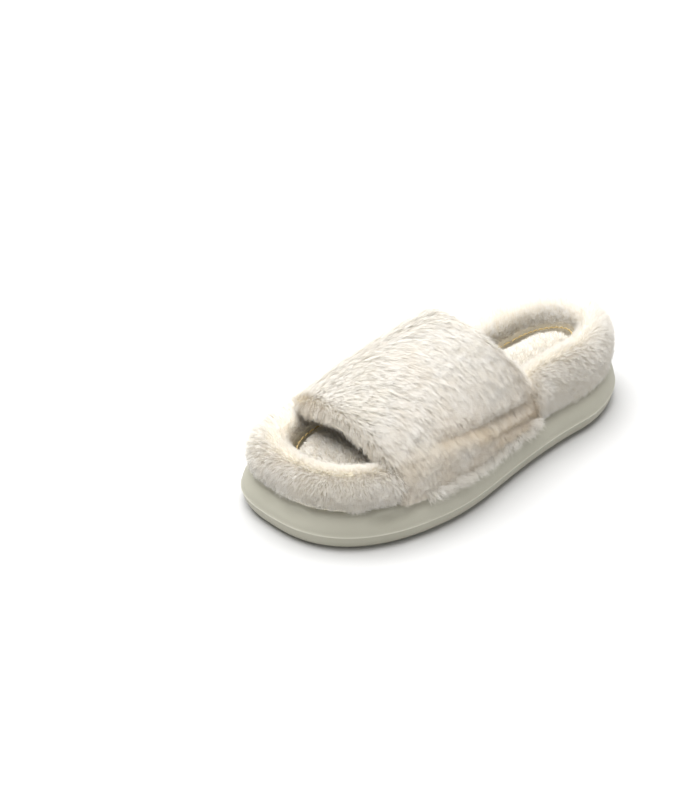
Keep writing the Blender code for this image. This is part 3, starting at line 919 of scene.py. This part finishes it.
def makeStrapPad():
    angles = np.linspace(0.0, math.pi, 61)
    radius = strap["padThickness"] / 2
    middle = strap["hairRoom"] + radius
    swing = np.linspace(-math.pi / 2, math.pi / 2, 7)[1:-1]
    rings = []
    for angle in angles:
        front, rear = (float(edge) for edge in strapEdges(np.array(angle)))
        front, rear = front + strap["edgeRoom"], rear - strap["edgeRoom"]
        along = np.linspace(front + radius, rear - radius, 22)
        y = np.concatenate([along, rear - radius + radius * np.cos(swing),
                            along[::-1], front + radius - radius * np.cos(swing)])
        topDepth = middle - radius + foldDepth(along, np.full_like(along, angle))
        inside = topDepth[::-1] * 0.5 + 0.5 * (middle - radius) + 2 * radius
        depth = np.concatenate([topDepth, middle + radius * np.sin(swing), inside,
                                middle - radius * np.sin(swing)])
        rings.append(archPoints(y, np.full_like(y, angle), depth))
    pad = plump(loft("strap_pad", np.array(rings)), {**padding, "mostMove": 0.0012})
    coverPad(pad, "strap_fur", "strap_fur")
    return pad


def makeLining():
    angles = np.linspace(0.0, math.pi, 81)
    rings = []
    for angle in angles:
        front, rear = (float(edge) for edge in strapEdges(np.array(angle)))
        along = np.linspace(front + strap["liningSetBack"], rear - strap["liningSetBack"], 40)
        outer = archPoints(along, np.full_like(along, angle), strap["liningDepth"])
        inner = archPoints(along, np.full_like(along, angle),
                           strap["liningDepth"] + strap["liningThickness"])
        rings.append(np.concatenate([outer, inner[::-1]]))
    piece = loft("strap_lining_cloth", np.array(rings))
    piece.data.materials.append(liningMaterial())
    stand(piece, "lining_cloth", "strap_lining")
    return piece


def liningMaterial():
    material, shader = newMaterial("lining_satin", 0.6)
    weave = addNode(material, "ShaderNodeTexWave", Scale=420.0, Distortion=0.6)
    join(material, objectPlace(material), weave.inputs["Vector"])
    soft = noise(material, 60.0, 3.0)
    join(material, ramp(material, soft, ((0.3, (0.93, 0.91, 0.84)), (0.7, (0.97, 0.96, 0.92)))),
         shader.inputs["Base Color"])
    addBump(material, shader, weave.outputs["Fac"], 0.0002, 0.5)
    shader.inputs["Sheen Weight"].default_value = 0.3
    return material


# footbed

footbed = {
    "toeFoam": 0.0045,
    "heelFoam": 0.0125,
    "plush": 0.0062,
    "inset": 0.0283,
    "hairRoom": 0.0018,
}


def plushTop(y):
    share = (y - soleLow.y) / soleLength
    return (deck + footbed["toeFoam"] + (footbed["heelFoam"] - footbed["toeFoam"]) * share
            + 0.0003 + footbed["plush"])


def makeFootbed():
    turns = evenTurns(221)[:-1]
    rings = []
    # the section from the rim inward, as extra inset and rise
    rows = ((0.0, -0.0055), (-0.0002, -0.0030), (0.0004, -0.0012), (0.0016, -0.0003),
            (0.0040, 0.0003), (0.0080, 0.0006), (0.0120, 0.0008))
    bottom = [(0.0010, -0.0060), (0.0080, -0.0060), (0.0120, -0.0060)]
    for extra, rise in bottom[::-1] + list(rows):
        x, y = outlinePoints(turns, footbed["inset"] + extra)
        top = plushTop(y) - footbed["hairRoom"]
        rise = max(rise, -footbed["plush"] + footbed["hairRoom"] + 0.0002)
        rings.append(np.stack([x, y, top + rise], axis=1))
    pad = plump(loft("footbed_pad", np.array(rings)),
                {**padding, "voxel": 0.0035, "mostMove": 0.0012, "heldBelow": 0.0, "lowest": 0.0})
    coverPad(pad, "plush_pile", "footbed_plush")
    return pad


crease = {
    "inset": 0.0284,
    "run": 0.52,              # its whole length round the footbed
    "below": 0.0009,          # stitches are pulled in under the tips of the pile
    "stitch": 0.0042,
    "gap": 0.0016,
    "radius": 0.00042,
    "dip": 0.0007,            # the ends of each stitch go down this much
    "shadeStrength": 0.9,              # strength and reach of the painted shade, golden, on the hair beside it
    "shadeReach": 0.0026,
}


def makeCreaseStitches():
    count = int(crease["run"] / (crease["stitch"] + crease["gap"]))
    turns = evenTurns(count * 8 + 1)[:-1]
    x, y = outlinePoints(turns, crease["inset"])
    z = plushTop(y) - crease["below"]
    length = crease["stitch"] / (crease["stitch"] + crease["gap"]) * 8
    data = bpy.data.curves.new("crease_stitches", "CURVE")
    data.dimensions = "3D"
    data.bevel_depth = crease["radius"]
    data.bevel_resolution = 2
    data.use_fill_caps = True
    for stitch in range(count):
        spline = data.splines.new("POLY")
        steps = np.linspace(stitch * 8, stitch * 8 + length, 7)
        spline.points.add(len(steps) - 1)
        for order, place in enumerate(steps):
            low, share = int(place) % len(turns), place % 1.0
            high = (low + 1) % len(turns)
            dip = crease["dip"] * abs(order / 3 - 1.0) ** 3
            spline.points[order].co = (mix(x[low], x[high], share), mix(y[low], y[high], share),
                                       mix(z[low], z[high], share) - dip, 1.0)
    piece = bpy.data.objects.new("crease_stitches", data)
    bpy.context.scene.collection.objects.link(piece)
    data.materials.append(twistedThread("gold_thread", (0.42, 0.30, 0.11), (0.62, 0.47, 0.22)))
    return stand(piece, "sewing_thread", "sock_thread")


# fur looks

furColours = {
    "roughness": 0.9,
    "sheen": 0.2,
    "through": 0.46,
    "patchScale": 22.0,
    # darker and more golden toward the roots: partly the fibres' own tone, partly painted shade deep
    # in the pile
    "rootToTip": ((0.0, (0.86, 0.80, 0.69)), (0.3, (0.91, 0.885, 0.83)),
                  (0.7, (0.94, 0.93, 0.905)), (1.0, (0.955, 0.952, 0.943))),
    "streaks": ((0.15, (0.93, 0.915, 0.885)), (0.5, (0.985, 0.98, 0.97)), (0.8, (1.0, 1.0, 1.0))),
    "patches": ((0.30, (1.0, 0.985, 0.965)), (0.5, (1.0, 1.0, 1.0)), (0.7, (0.99, 0.985, 0.97))),
    "hairToHair": ((0.0, (0.96, 0.95, 0.93)), (0.5, (1.0, 1.0, 1.0)), (1.0, (1.0, 0.99, 0.975))),
    # colour multiplied in as painted shade in the crease, the folds and on the shaded side
    "paintedShade": (0.78, 0.65, 0.44),
}

strapHair = {
    "density": 7.0, "length": 0.0105, "lengthSpread": 0.09, "width": 0.00019,
    "lockSize": 0.009, "lockPull": 0.05, "lockTurn": 0.05,
    "tuftSize": 0.0015, "tuftPull": 0.15, "tuftTurn": 0.05, "hairTurn": 0.13,
    "flowSize": 0.05, "flowTurn": 0.12,
    "lift": 0.36, "liftSpread": 0.03, "tipLift": 0.45, "droop": 0.03, "wobble": 0.04,
    "roll": 0.3, "roundShade": 0.94, "upShade": 0.22,
    "steps": (0.0, 0.4, 0.75, 1.0), "taper": (1.0, 1.0, 0.75, 0.0),
}

rimHair = {
    **strapHair,
    "density": 5.6, "length": 0.0062, "lift": 1.0, "tipLift": 0.75, "droop": 0.02,
    "lockSize": 0.007, "lockTurn": 0.15, "tuftTurn": 0.12, "tuftPull": 0.10, "hairTurn": 0.40,
    "flowSize": 0.03, "flowTurn": 0.2, "liftSpread": 0.05, "wobble": 0.07, "upShade": 0.75,
    "steps": (0.0, 0.55, 1.0), "taper": (1.0, 0.95, 0.0),
}

footbedHair = {
    **strapHair,
    "density": 8.0, "length": 0.0034, "lengthSpread": 0.08, "lift": 1.15, "tipLift": 0.80,
    "lockSize": 0.005, "lockTurn": 0.3, "lockPull": 0.0, "tuftSize": 0.0014, "tuftPull": 0.05,
    "tuftTurn": 0.3, "hairTurn": 1.1, "flowSize": 0.02, "flowTurn": 0.4, "wobble": 0.08,
    "liftSpread": 0.03, "width": 0.00022,
    "upShade": 0.40, "steps": (0.0, 0.55, 1.0), "taper": (1.0, 0.95, 0.0),
}

hemHair = {
    **strapHair,
    "density": 6.5, "length": 0.0074, "lengthSpread": 0.25, "lift": 1.0, "tipLift": 0.45,
    "lockSize": 0.005, "lockTurn": 0.6, "lockPull": 0.12, "tuftSize": 0.0016, "tuftPull": 0.25,
    "tuftTurn": 0.5, "hairTurn": 0.4, "flowTurn": 0.4, "wobble": 0.10, "droop": 0.25,
    "upShade": 0.60, "steps": (0.0, 0.55, 1.0), "taper": (1.0, 0.95, 0.0),
}

edgeTurns = evenTurns(721)[:-1]
edgeMiddle = np.stack(outlinePoints(edgeTurns, rim["reach"] / 2), axis=1)
edgeOutward = unit(np.stack(outlinePoints(edgeTurns, 0.0), axis=1) - edgeMiddle)


def outwardAt(points):
    # horizontal heading from the footbed out across the rim, and how far inside its middle line
    nearestEdge = np.empty(len(points), int)
    for start in range(0, len(points), 4000):
        gap = points[start:start + 4000, None, :2] - edgeMiddle[None]
        nearestEdge[start:start + 4000] = np.argmin((gap ** 2).sum(axis=2), axis=1)
    outward = edgeOutward[nearestEdge]
    inside = -np.sum((points[:, :2] - edgeMiddle[nearestEdge]) * outward, axis=1)
    return np.concatenate([outward, np.zeros((len(points), 1))], axis=1), inside


def creasePaintedShade(points):
    # painted shade, golden, on the hair near the seam between rim and footbed, where the crease lies
    # in shade
    inside = outwardAt(points)[1]
    away = np.hypot(inside - rim["reach"] / 2, points[:, 2] - plushTop(points[:, 1]))
    return crease["shadeStrength"] * np.exp(-(away / crease["shadeReach"]) ** 2)


strapCoat = {
    "lean": 0.22,             # of the nap, toward the heel
    "frontCurl": (0.4, 0.6, -1.9),    # the nap turns this way round the front and rear lips
    "rearCurl": (0.3, -0.2, -1.2),
    "frontTuck": 0.009,       # how far the hair goes on under each lip
    "rearTuck": 0.012,
    "sideLength": 0.62,       # shorter at the bottom of the sides and round the lips
    "lipLength": 0.72,
    "lipLift": 0.45,
    "crownGather": 0.45,      # smooth over the crown, in locks down the outer side
    "sideGather": 1.6,
    "sideGap": 0.0030,        # the hair stops this far above the sole, for the hem
    "sidePaintedShade": 0.25,       # painted shade in beige, low on the outer side, in the folds and at the front lip
    "foldPaintedShade": 0.28,
    "lipPaintedShade": 0.15,
}

hem = {"start": -0.066, "end": 0.034, "low": 0.0008, "high": 0.0060, "overlap": 0.004}

rimCoat = {
    "sideLean": 0.25,
    "creaseLength": 0.75,
    "lowEdge": 0.0016,        # the hair ends this far above the sole, and lower at the heel
    "toeDrop": 0.0010,
    "heelDrop": 0.0065,
    "wispSize": 0.012,
    "wispDrop": 0.004,
}


def strapFields():
    def comb(points, normals):
        # one cloth laid across the foot: the nap runs over the crown toward the outer side
        nap = np.stack([normals[:, 2], np.full(len(points), strapCoat["lean"]),
                        -normals[:, 0]], axis=1)
        frontLip = np.clip(-normals[:, 1] - 0.25, 0.0, 1.0)[:, None]
        rearLip = np.clip(normals[:, 1] - 0.25, 0.0, 1.0)[:, None]
        return (nap + frontLip * np.array(strapCoat["frontCurl"])
                + rearLip * np.array(strapCoat["rearCurl"]))

    def share(points, facing):
        x, y = offCentre(points), points[:, 1]
        arch = np.arctan2(np.maximum(points[:, 2] - deck, 0.0), x * 0.9)
        front, rear = strapEdges(arch)
        inner = (facing[:, 2] < -0.2) | (facing[:, 0] * np.sign(x) < -0.2)
        kept = (y < front + strapCoat["frontTuck"]) | (y > rear - strapCoat["rearTuck"])
        below = points[:, 2] < deck + 0.0008
        return np.where((inner & ~kept) | below, 0.0, 1.0)

    def length(points, normals):
        lip = smoothStep((np.abs(normals[:, 1]) - 0.3) / 0.5)
        under = smoothStep((-normals[:, 2] - 0.1) / 0.5)
        side = smoothStep((points[:, 2] - 0.030) / 0.030)
        low = mix(strapCoat["sideLength"], 1.0, side)
        return mix(low, strapCoat["lipLength"], np.maximum(lip, under) * 0.8)

    def lift(points, normals):
        return strapCoat["lipLift"] * smoothStep((np.abs(normals[:, 1]) - 0.2) / 0.5)

    def gather(points):
        low = smoothStep((0.075 - points[:, 2]) / 0.03)
        side = np.where(offCentre(points) > 0.0, strapCoat["sideGather"], 1.0)
        return mix(strapCoat["crownGather"], side, low)

    def ground(points):
        side = np.abs(offCentre(points)) > 0.03
        raised = side & (points[:, 1] > hem["start"]) & (points[:, 1] < hem["end"])
        return np.where(raised, deck + strapCoat["sideGap"], deck - 0.0003)

    # painted shade: beige on the lower outer side, which faces away from the lamp, in the folds and
    # at the front lip
    def paintedShade(points):
        outer = smoothStep((offCentre(points) - 0.020) / 0.025)
        low = smoothStep((0.078 - points[:, 2]) / 0.035)
        mottle = 0.75 + 0.35 * softNoise(points, 0.016, 71)
        angle = np.arctan2(points[:, 2] - deck, offCentre(points))
        fold = np.clip(foldDepth(points[:, 1], angle) / 0.0030, 0.0, 1.0)
        lip = smoothStep((strapEdges(angle)[0] + 0.006 - points[:, 1]) / 0.006)
        return np.clip(strapCoat["sidePaintedShade"] * outer * low * mottle
                       + strapCoat["foldPaintedShade"] * fold * outer
                       + strapCoat["lipPaintedShade"] * lip, 0.0, 1.0)

    return {"comb": comb, "share": share, "length": length, "lift": lift, "gather": gather,
            "ground": ground, "paintedShade": paintedShade}


def hemFields():
    def comb(points, normals):
        return np.stack([np.zeros(len(points)), np.full(len(points), 0.2),
                         -np.ones(len(points))], axis=1)

    def share(points, facing):
        outward = facing[:, 0] * np.sign(offCentre(points)) > 0.3
        low = (points[:, 2] > deck + hem["low"]) & (points[:, 2] < deck + hem["high"])
        along = (points[:, 1] > hem["start"]) & (points[:, 1] < hem["end"])
        return np.where(outward & low & along, 1.0, 0.0)

    def ground(points):
        return np.full(len(points), soleTop - hem["overlap"])

    return {"comb": comb, "share": share, "ground": ground}


def rimFields(heel):
    def comb(points, normals):
        # from the crease up over the crest and down the outer side
        outward, _ = outwardAt(points)
        away = np.sum(outward * normals, axis=1, keepdims=True)
        upward = np.array([0.0, 0.0, 1.0])
        side = np.cross(upward, outward)
        return outward * normals[:, 2:] - upward * away + side * rimCoat["sideLean"]

    def share(points, facing):
        y = points[:, 1]
        front, rear = strapEnds(offCentre(points) > 0.0)
        hidden = (y > front + 0.030) & (y < rear - 0.045)
        below = (points[:, 2] < deck + 0.0006) & (facing[:, 2] < -0.5)
        inside = outwardAt(points)[1]
        buried = (inside > 0.004) & (points[:, 2] < plushTop(y) - 0.001)
        return np.where(hidden | below | buried, 0.0, 1.0)

    def length(points, normals):
        inside = outwardAt(points)[1]
        near = smoothStep((plushTop(points[:, 1]) + 0.009 - points[:, 2]) / 0.007)
        return mix(1.0, rimCoat["creaseLength"], near * (inside > 0.004))

    def ground(points):
        drop = rimCoat["heelDrop"] if heel else rimCoat["toeDrop"]
        low = deck + rimCoat["lowEdge"] - drop * smoothStep((points[:, 1] - 0.03) / 0.05)
        lumps = softNoise(points, rimCoat["wispSize"], 75)
        return low - np.maximum(0.0, lumps - 0.9) * rimCoat["wispDrop"]

    return {"comb": comb, "share": share, "length": length, "ground": ground,
            "paintedShade": creasePaintedShade}


def footbedFields():
    def comb(points, normals):
        return np.tile(np.array([0.25, -1.0, 0.0]), (len(points), 1))

    def share(points, facing):
        return np.where(facing[:, 2] > 0.2, 1.0, 0.0)

    return {"comb": comb, "share": share, "paintedShade": creasePaintedShade}


# carried-over hard parts

def plainGrain(name, dark, light, scale, roughness, bump):
    material, shader = newMaterial(name, roughness)
    grain = noise(material, scale, 4.0, 0.6)
    join(material, ramp(material, grain, ((0.3, dark), (0.7, light))), shader.inputs["Base Color"])
    addBump(material, shader, grain, bump, 0.7)
    return material


def twistedThread(name, dark, light):
    material, shader = newMaterial(name, 0.7)
    plies = addNode(material, "ShaderNodeTexWave", Scale=700.0, Distortion=1.5,
                    bands_direction="DIAGONAL")
    join(material, objectPlace(material), plies.inputs["Vector"])
    join(material, ramp(material, plies.outputs["Fac"], ((0.2, dark), (0.8, light))),
         shader.inputs["Base Color"])
    addBump(material, shader, plies.outputs["Fac"], 0.0002, 0.8)
    return material


def dressInnerParts():
    foam = plainGrain("cut_foam", (0.80, 0.74, 0.58), (0.90, 0.86, 0.74), 900.0, 0.9, 0.0003)
    looks = {
        "insole_board": plainGrain("pressed_board", (0.52, 0.43, 0.31), (0.66, 0.57, 0.44),
                                   500.0, 0.85, 0.0002),
        "footbed_foam": foam,
        "rim_foam": foam,
        "strap_foam": foam,
        "strap_front_tape": plainGrain("woven_tape", (0.78, 0.74, 0.66), (0.88, 0.85, 0.78),
                                       1100.0, 0.8, 0.0002),
        "lasting_thread": twistedThread("plain_thread", (0.66, 0.55, 0.38), (0.82, 0.73, 0.56)),
    }
    looks["strap_rear_tape"] = looks["strap_front_tape"]
    looks["strap_front_thread"] = looks["strap_rear_thread"] = looks["lasting_thread"]
    for name, material in looks.items():
        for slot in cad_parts[name].material_slots:
            slot.material = material


setCamera()
setStudio()
backing = backingMaterial("fur_backing", (0.89, 0.85, 0.76), (0.82, 0.76, 0.65))
print("sole")
makeSole()
print("rim, footbed and strap pads")
rimPads = makeRim()
footbedPad = makeFootbed()
strapPad = makeStrapPad()
makeLining()
makeCreaseStitches()
print("fur")
furLook = furMaterial("long_fur", furColours)
plushLook = furMaterial("short_plush", {**furColours, "patchScale": 40.0})
coatWithHair(rimPads[0], "toe_rim_hair", rimHair, rimFields(False), 11, furLook, "rim_fur")
coatWithHair(rimPads[1], "heel_rim_hair", rimHair, rimFields(True), 12, furLook, "rim_fur")
coatWithHair(footbedPad, "footbed_hair", footbedHair, footbedFields(), 13, plushLook, "plush_pile")
coatWithHair(strapPad, "strap_hair", strapHair, strapFields(), 14, furLook, "strap_fur")
# the hem's hair is darker at the roots as well: partly its own tone, partly painted shade deep in the
# fluff
hemLook = furMaterial("hem_fluff", {**furColours, "rootToTip": (
    (0.0, (0.84, 0.79, 0.70)), (0.5, (0.92, 0.91, 0.88)), (1.0, (0.94, 0.93, 0.91)))})
coatWithHair(strapPad, "hem_hair", hemHair, hemFields(), 15, hemLook, "strap_fur")
print("inner parts")
dressInnerParts()
